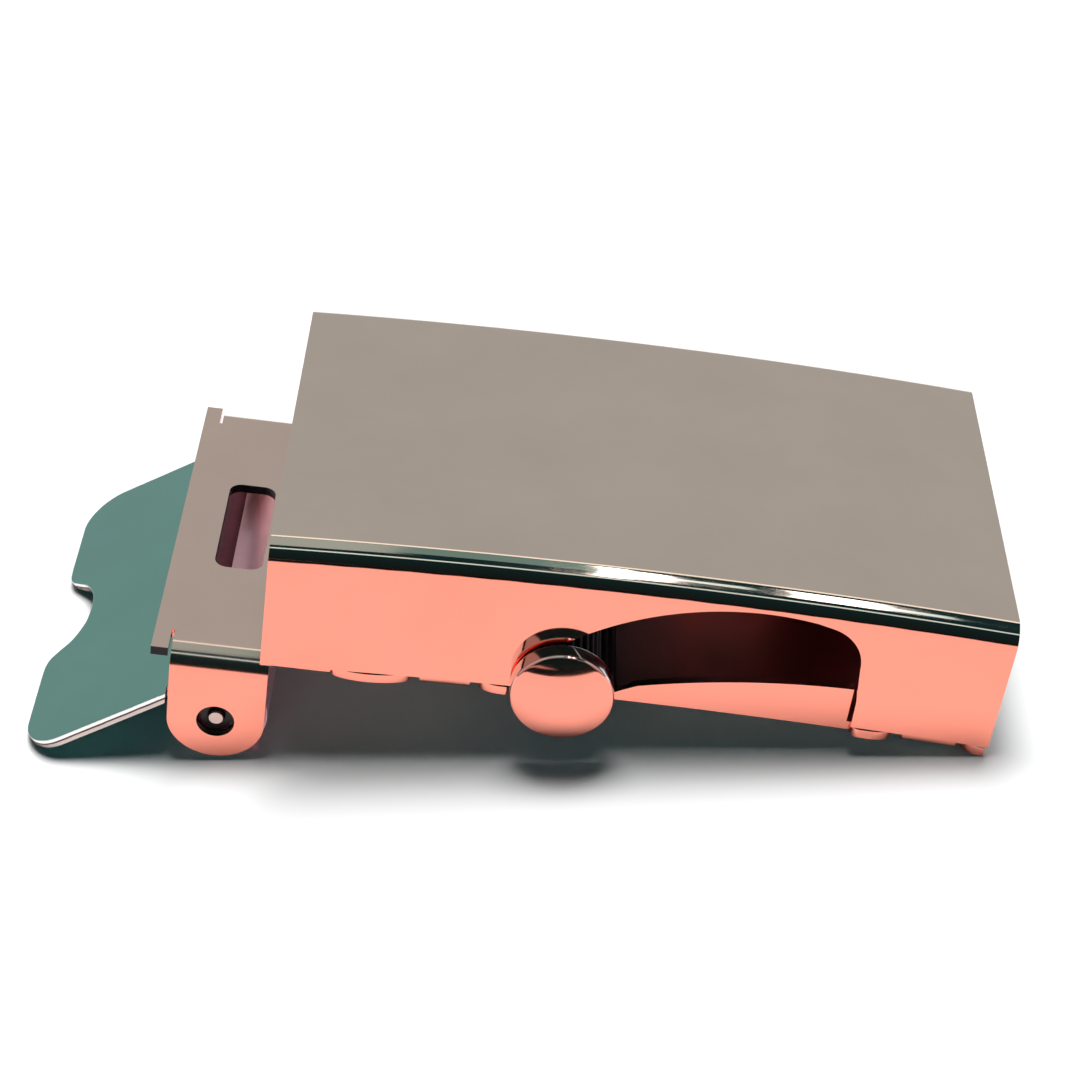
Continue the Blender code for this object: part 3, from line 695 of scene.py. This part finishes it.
class Nodes:
    """Short hand for building a material's node tree."""

    def __init__(self, name):
        self.material = bpy.data.materials.new(name)
        self.material.use_nodes = True
        self.tree = self.material.node_tree
        self.shader = self.tree.nodes["Principled BSDF"]

    def add(self, kind, **values):
        node = self.tree.nodes.new(kind)
        for key, value in values.items():
            setattr(node, key, value)
        return node

    def wire(self, source, target):
        self.tree.links.new(source, target)

    def math(self, operation, first, second):
        node = self.add("ShaderNodeMath", operation=operation)
        for socket, value in zip(node.inputs, (first, second)):
            if isinstance(value, (int, float)):
                socket.default_value = value
            else:
                self.wire(value, socket)
        return node.outputs[0]

    def ramp(self, source, low, high, low_value=0.0, high_value=1.0):
        node = self.add("ShaderNodeMapRange")
        node.inputs["From Min"].default_value = low
        node.inputs["From Max"].default_value = high
        node.inputs["To Min"].default_value = low_value
        node.inputs["To Max"].default_value = high_value
        self.wire(source, node.inputs["Value"])
        return node.outputs["Result"]

    def noise(self, vector, scale, detail=3.0, roughness=0.5):
        node = self.add("ShaderNodeTexNoise")
        node.inputs["Scale"].default_value = scale
        node.inputs["Detail"].default_value = detail
        node.inputs["Roughness"].default_value = roughness
        self.wire(vector, node.inputs["Vector"])
        return node.outputs["Fac"]

    def stretched(self, vector, scale):
        node = self.add("ShaderNodeMapping")
        node.inputs["Scale"].default_value = scale
        self.wire(vector, node.inputs["Vector"])
        return node.outputs["Vector"]

    def mix(self, factor, first, second):
        node = self.add("ShaderNodeMix", data_type="RGBA")
        for name, value in (("A", first), ("B", second)):
            socket = [s for s in node.inputs if s.name == name and s.type == "RGBA"][0]
            if isinstance(value, tuple):
                socket.default_value = (*value, 1.0)
            else:
                self.wire(value, socket)
        self.wire(factor, node.inputs[0])
        return [s for s in node.outputs if s.type == "RGBA"][0]

    def bump(self, height, strength, distance, normal=None):
        node = self.add("ShaderNodeBump")
        node.inputs["Strength"].default_value = strength
        node.inputs["Distance"].default_value = distance
        self.wire(height, node.inputs["Height"])
        if normal is not None:
            self.wire(normal, node.inputs["Normal"])
        return node.outputs["Normal"]


def plated(name, face_tint, side_tint, roughness, grain=(30.0, 900.0, 900.0)):
    """Bright plating: one tint where it faces up, another on its sides, with fine drawn grain. The two
    tints are painted reflection: they stand in for the different colours that the tops and the sides
    mirror.
    """
    n = Nodes(name)
    place = n.add("ShaderNodeTexCoord")
    spot = place.outputs["Object"]
    split = n.add("ShaderNodeSeparateXYZ")
    n.wire(place.outputs["Normal"], split.inputs[0])
    upward = n.ramp(n.math("ABSOLUTE", split.outputs["Z"], 0.0), 0.35, 0.8)
    # Painted reflection: faces that point up and faces that point sideways get different tints.
    tint = n.mix(upward, side_tint, face_tint)
    cloud = n.noise(spot, 90.0, 4.0, 0.6)
    worn_face = tuple(0.94 * value for value in face_tint)
    worn_side = (side_tint[0], 0.95 * side_tint[1], 0.92 * side_tint[2])
    worn = n.mix(upward, worn_side, worn_face)
    n.wire(n.mix(n.ramp(cloud, 0.35, 0.75), tint, worn), n.shader.inputs["Base Color"])
    streaks = n.noise(n.stretched(spot, grain), 1.0, 3.0, 0.6)
    smudge = n.noise(spot, 140.0, 5.0, 0.65)
    rough = n.math("ADD", n.ramp(streaks, 0.3, 0.7, roughness * 0.85, roughness * 1.15),
                   n.ramp(smudge, 0.45, 0.75, 0.0, 0.05))
    n.wire(rough, n.shader.inputs["Roughness"])
    fine = n.bump(streaks, 0.12, 0.004 * MM)
    waves = n.noise(spot, 260.0, 2.0, 0.4)
    n.wire(n.bump(waves, 0.10, 0.02 * MM, fine), n.shader.inputs["Normal"])
    n.shader.inputs["Metallic"].default_value = 1.0
    return n.material


def sheared(name, across, low, high, bands, roughness):
    """A cut sheet edge with painted highlight and reflection lines: bands of color from its low to its
    high side, in the direction across it.
    """
    n = Nodes(name)
    spot = n.add("ShaderNodeTexCoord").outputs["Object"]
    height = n.add("ShaderNodeVectorMath", operation="DOT_PRODUCT")
    n.wire(spot, height.inputs[0])
    height.inputs[1].default_value = across
    ragged = n.noise(spot, 700.0, 3.0, 0.5)
    wander = n.ramp(ragged, 0.2, 0.8, -0.03, 0.03)
    level = n.math("ADD", n.ramp(height.outputs["Value"], low, high), wander)
    ramp = n.add("ShaderNodeValToRGB")
    n.wire(level, ramp.inputs["Fac"])
    stops = ramp.color_ramp.elements
    for position, color in bands[1:-1]:
        stops.new(position).color = (*color, 1.0)
    stops[0].color = (*bands[0][1], 1.0)
    stops[-1].color = (*bands[-1][1], 1.0)
    n.wire(ramp.outputs["Color"], n.shader.inputs["Base Color"])
    n.wire(n.ramp(ragged, 0.3, 0.7, roughness, roughness * 1.4), n.shader.inputs["Roughness"])
    n.wire(n.bump(ragged, 0.15, 0.01 * MM), n.shader.inputs["Normal"])
    n.shader.inputs["Metallic"].default_value = 1.0
    return n.material


def plain_inside(name, color, roughness):
    """The dull, unplated inside of the folded sheet. Its very dark maroon also paints in the shade
    inside the case, and it turns near-black towards the roller's end as painted shade.
    """
    n = Nodes(name)
    spot = n.add("ShaderNodeTexCoord").outputs["Object"]
    cloud = n.noise(spot, 160.0, 5.0, 0.6)
    dark = tuple(0.45 * value for value in color)
    along = n.add("ShaderNodeSeparateXYZ")
    n.wire(spot, along.inputs[0])
    # Painted shade: the inside grows near-black towards the roller's end of the window.
    painted_shade_at_roller = n.ramp(along.outputs["X"], -2 * MM, 10 * MM, 1.0, 0.0)
    cloudy = n.mix(n.ramp(cloud, 0.35, 0.7), color, dark)
    n.wire(n.mix(painted_shade_at_roller, cloudy, (0.008, 0.004, 0.010)), n.shader.inputs["Base Color"])
    n.wire(n.ramp(cloud, 0.3, 0.7, roughness, roughness + 0.15), n.shader.inputs["Roughness"])
    n.wire(n.bump(cloud, 0.2, 0.01 * MM), n.shader.inputs["Normal"])
    n.shader.inputs["Metallic"].default_value = 0.8
    n.shader.inputs["Specular IOR Level"].default_value = 0.05
    return n.material


def dress(piece, body, nodes, material):
    """Give a piece its material, and say what it rides on and stands for."""
    piece.data.materials.clear()
    piece.data.materials.append(material)
    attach(piece, body)
    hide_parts(*nodes)


def paint(piece, material, chosen):
    """Give another material to the faces whose place and outward direction are chosen."""
    piece.data.materials.append(material)
    turn = piece.matrix_world.to_3x3()
    for face in piece.data.polygons:
        if chosen(piece.matrix_world @ face.center, turn @ face.normal):
            face.material_index = len(piece.data.materials) - 1


def inside_case(place, normal):
    """The inner faces of the folded sheet."""
    towards = Vector((0.0, place.y, place.z - (FACE_TOP + TAB_BOTTOM) / 2))
    between = abs(place.y) < CASE_WIDTH / 2 - CASE_SHEET * 0.75
    under = WALL_FOOT - MM < place.z < FACE_TOP - bow(place.x) - CASE_SHEET * 0.75
    return between and under and normal.dot(towards) < 0.0


def in_slot(place, normal):
    """The cut faces of the slot in the bracket plate."""
    across = abs(place.x - HINGE_X) < SLOT_WIDTH / 2 + 0.1 * MM
    return across and abs(place.y) < SLOT_LENGTH / 2 + 0.1 * MM and abs(normal.z) < 0.8


def lip_edge(place, normal):
    """The sheared edge of the lip beside the near ear."""
    return place.x < HINGE_X - EAR_RADIUS and place.y < 0.3 * MM - BRACKET_TIP and normal.y < -0.5


def tongue_rim(place, normal):
    """The upper rim of the tongues under the wall's foot."""
    return abs(place.y) > PLATE_INSIDE and 0.15 < normal.z < 0.98 and place.z > -PLATE_SHEET


def lever_edge(place, normal):
    """The sheared edge all round the lever's plate."""
    return place.x < HINGE_X - JAW_SPAN and abs(normal.dot(LEVER_UP)) < 0.85


def on_jaw(place, normal):
    """All of the lever that lies near its hinge, where the jaw's round back is."""
    return place.x > HINGE_X - JAW_SPAN


def jaw_shade(place, normal):
    """The hollow between the jaw's round back and the lever's plate."""
    return HINGE_X - JAW_SPAN < place.x < HINGE_X - JAW_BRIGHT and normal.z > 0.0


def pin_nib(place, normal):
    """The small turned nib at each end of the pin."""
    return abs(place.y) > PIN_HALF_LENGTH - 0.05 * MM


# ---------------------------------------------------------------- stage


def floor_plane():
    """Point and normal of the table: the buckle lies on its open lever and its far end."""
    lever_low = min((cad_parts["clamp_lever"].matrix_world @ v.co
                     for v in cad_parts["clamp_lever"].data.vertices), key=lambda p: p.z)
    far_end = Vector((RAMP_HIGH.x, 0.0, -PLATE_SHEET - bow(RAMP_HIGH.x)))
    run = far_end - lever_low
    slope = math.atan2(run.z, run.x)
    return Vector((far_end.x, 0.0, far_end.z)), slope


def make_floor():
    point, slope = floor_plane()
    shape = bmesh.new()
    bmesh.ops.create_grid(shape, x_segments=1, y_segments=1, size=FLOOR_SIZE / 2)
    mesh = bpy.data.meshes.new("table")
    shape.to_mesh(mesh)
    shape.free()
    place = Matrix.Translation(point) @ Matrix.Rotation(-slope, 4, "Y")
    floor = link("table", mesh, place)
    n = Nodes("table_paper")
    n.shader.inputs["Base Color"].default_value = (0.60, 0.60, 0.60, 1.0)
    n.shader.inputs["Roughness"].default_value = 0.9
    n.shader.inputs["Specular IOR Level"].default_value = 0.1
    floor.data.materials.append(n.material)
    return place


def glossy_only(item):
    """A reflector or a flag: the polished metal sees it, and it neither lights nor shades."""
    item.visible_camera = False
    item.visible_diffuse = False
    item.visible_shadow = False
    item.visible_transmission = False
    return item


def add_softbox(name, stage, place, size, color, power):
    """A soft area light placed in the table's frame and aimed at the buckle; metal doesn't mirror it."""
    data = bpy.data.lights.new(name, "AREA")
    data.shape = "RECTANGLE"
    data.size, data.size_y = size
    data.color = color
    data.energy = power
    light = link(name, data)
    spot = stage @ Vector(place)
    towards = stage @ Vector(LIGHT_AIM) - spot
    turn = towards.to_track_quat("-Z", "Y").to_matrix().to_4x4()
    light.matrix_world = Matrix.Translation(spot) @ turn
    light.visible_glossy = False
    return light


def add_card(name, distance, color, strength, left, right, low, high):
    """A glowing card: left and right as X directions, low and high as angles over the top from -Y."""
    corners = []
    for across, angle in ((left, low), (right, low), (right, high), (left, high)):
        rest = math.sqrt(1.0 - across ** 2)
        up = math.radians(angle)
        towards = Vector((across, -rest * math.cos(up), rest * math.sin(up)))
        corners.append(towards * distance)
    mesh = bpy.data.meshes.new(name)
    mesh.from_pydata(corners, [], [(0, 1, 2, 3)])
    card = link(name, mesh)
    n = Nodes(name + "_glow")
    glow = n.add("ShaderNodeEmission")
    glow.inputs["Color"].default_value = (*color, 1.0)
    glow.inputs["Strength"].default_value = strength
    output = n.tree.nodes["Material Output"]
    n.wire(glow.outputs["Emission"], output.inputs["Surface"])
    card.data.materials.append(n.material)
    return glossy_only(card)


def make_flag(stage):
    """A black cloth lying on the table in front, for the metal to mirror."""
    mesh = bpy.data.meshes.new("flag")
    far = FLAG_EDGE - FLAG_DEPTH
    half = FLAG_WIDTH / 2
    corners = ((-half, far), (half, far), (half, FLAG_EDGE), (-half, FLAG_EDGE))
    mesh.from_pydata([(x, y, FLAG_LIFT) for x, y in corners], [], [(0, 1, 2, 3)])
    flag = link("flag", mesh, stage)
    n = Nodes("flag_cloth")
    n.shader.inputs["Base Color"].default_value = (*FLAG_COLOR, 1.0)
    n.shader.inputs["Roughness"].default_value = 1.0
    n.shader.inputs["Specular IOR Level"].default_value = 0.0
    flag.data.materials.append(n.material)
    return glossy_only(flag)


def make_world():
    """A plain grey studio, which only the polished metal sees."""
    world = bpy.data.worlds.new("studio")
    world.use_nodes = True
    tree = world.node_tree
    background = tree.nodes["Background"]
    background.inputs["Color"].default_value = (*SKY_COLOR, 1.0)
    world.cycles_visibility.diffuse = False
    bpy.context.scene.world = world


def make_camera():
    data = bpy.data.cameras.new("camera")
    data.lens = CAMERA_LENS
    data.sensor_width = 36.0
    camera = link("camera", data)
    camera.location = CAMERA_PLACE
    camera.rotation_euler = Euler(CAMERA_TURN, "XYZ")
    bpy.context.scene.camera = camera


def make_stage():
    make_camera()
    make_world()
    stage = make_floor()
    make_flag(stage)
    add_softbox("overhead", stage, OVERHEAD_PLACE, OVERHEAD_SIZE, WHITE, OVERHEAD_POWER)
    add_softbox("fill", stage, FILL_PLACE, FILL_SIZE, FILL_COLOR, FILL_POWER)
    for name, card in CARDS:
        add_card(name, *card)
    bpy.context.scene.view_settings.view_transform = "Standard"


# ---------------------------------------------------------------- assembly


def main():
    # These tints are painted reflection: rose on the sides, grey-beige on the tops, teal on the lever's
    # face, mauve on the jaw, and rose with pale grey on the knobs each stand in for the colour that part
    # mirrors.
    rose_face = (0.80, 0.69, 0.60)
    rose_side = (1.0, 0.33, 0.24)
    at_rest = Matrix.Translation((REST_X, 0.0, REST_Z))
    case_plating = plated("case_plating", rose_face, rose_side, 0.055)
    plate_plating = plated("plate_plating", (0.84, 0.67, 0.585), rose_side, 0.14)
    lever_plating = plated("lever_plating", (0.235, 0.515, 0.46), (0.55, 0.50, 0.48), 0.13)
    jaw_plating = plated("jaw_plating", (0.92, 0.56, 0.66), (0.92, 0.56, 0.66), 0.45)
    shade_plating = plated("shade_plating", (0.11, 0.02, 0.04), (0.11, 0.02, 0.04), 0.36)
    lever_top = LEVER_UP.dot(Vector((HINGE_X, 0.0, HINGE_Z))) + LEVER_HEIGHT
    # Painted highlight and reflection lines for the lever's cut edge.
    lever_edge_painted_lines = sheared("lever_edge_painted_lines", LEVER_UP, lever_top - LEVER_SHEET, lever_top, LEVER_EDGE_PAINTED_LINES, 0.25)
    # Near-black painted shade for the slot's cut faces, the lip's front edge and the tongues' upper
    # rims.
    edge_painted_shade = plated("edge_painted_shade", (0.03, 0.025, 0.03), (0.03, 0.025, 0.03), 0.30)
    knob_plating = plated("knob_plating", rose_side, (0.72, 0.76, 0.78), 0.07, (300.0, 300.0, 300.0))
    pin_steel = plated("pin_steel", (0.62, 0.44, 0.40), (0.62, 0.44, 0.40), 0.25)
    # Near-black painted shade for the pin's body inside the ears' holes; the nib keeps the steel colour.
    pin_painted_shade = plated("pin_painted_shade", (0.04, 0.035, 0.035), (0.04, 0.035, 0.035), 0.35)
    # A dark plating, made near-black as painted shade for the roller inside the case.
    roller_dark_steel_and_shade = plated("roller_dark_steel_and_shade", (0.014, 0.012, 0.022), (0.014, 0.012, 0.022), 0.36)
    inside = plain_inside("case_inside", (0.10, 0.004, 0.004), 0.40)

    case = make_case()
    dress(case, "buckle", ["case"], case_plating)
    paint(case, inside, inside_case)
    bracket = make_bracket_plate()
    dress(bracket, "buckle", ["bracket_plate"], plate_plating)
    # Painted shade in the slot, on the lip's front edge and along the tongues' rims under the wall.
    paint(bracket, edge_painted_shade, in_slot)
    paint(bracket, edge_painted_shade, lip_edge)
    paint(bracket, edge_painted_shade, tongue_rim)
    dress(make_ramp_plate(), "buckle", ["ramp_plate"], plate_plating)
    lever = make_lever()
    dress(lever, "clamp", ["clamp_lever"], lever_plating)
    paint(lever, jaw_plating, on_jaw)
    paint(lever, shade_plating, jaw_shade)
    # The lever's cut edge gets painted highlight and reflection lines.
    paint(lever, lever_edge_painted_lines, lever_edge)
    pin = make_pin()
    # The pin's body is painted shade, the dark ring round the nib in each ear's hole.
    dress(pin, "buckle", ["hinge_pin"], pin_painted_shade)
    paint(pin, pin_steel, pin_nib)
    dress(make_sleeve(at_rest), "roller", ["roller_sleeve"], roller_dark_steel_and_shade)
    near = make_knob("knob_near_polished", -1, at_rest)
    far = make_knob("knob_far_polished", 1, at_rest)
    dress(near, "roller_carrier", ["knob_near"], knob_plating)
    dress(far, "roller_carrier", ["knob_far"], knob_plating)
    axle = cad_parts["roller_axle"]
    for slot in axle.material_slots:
        slot.material = pin_steel
    make_stage()


main()
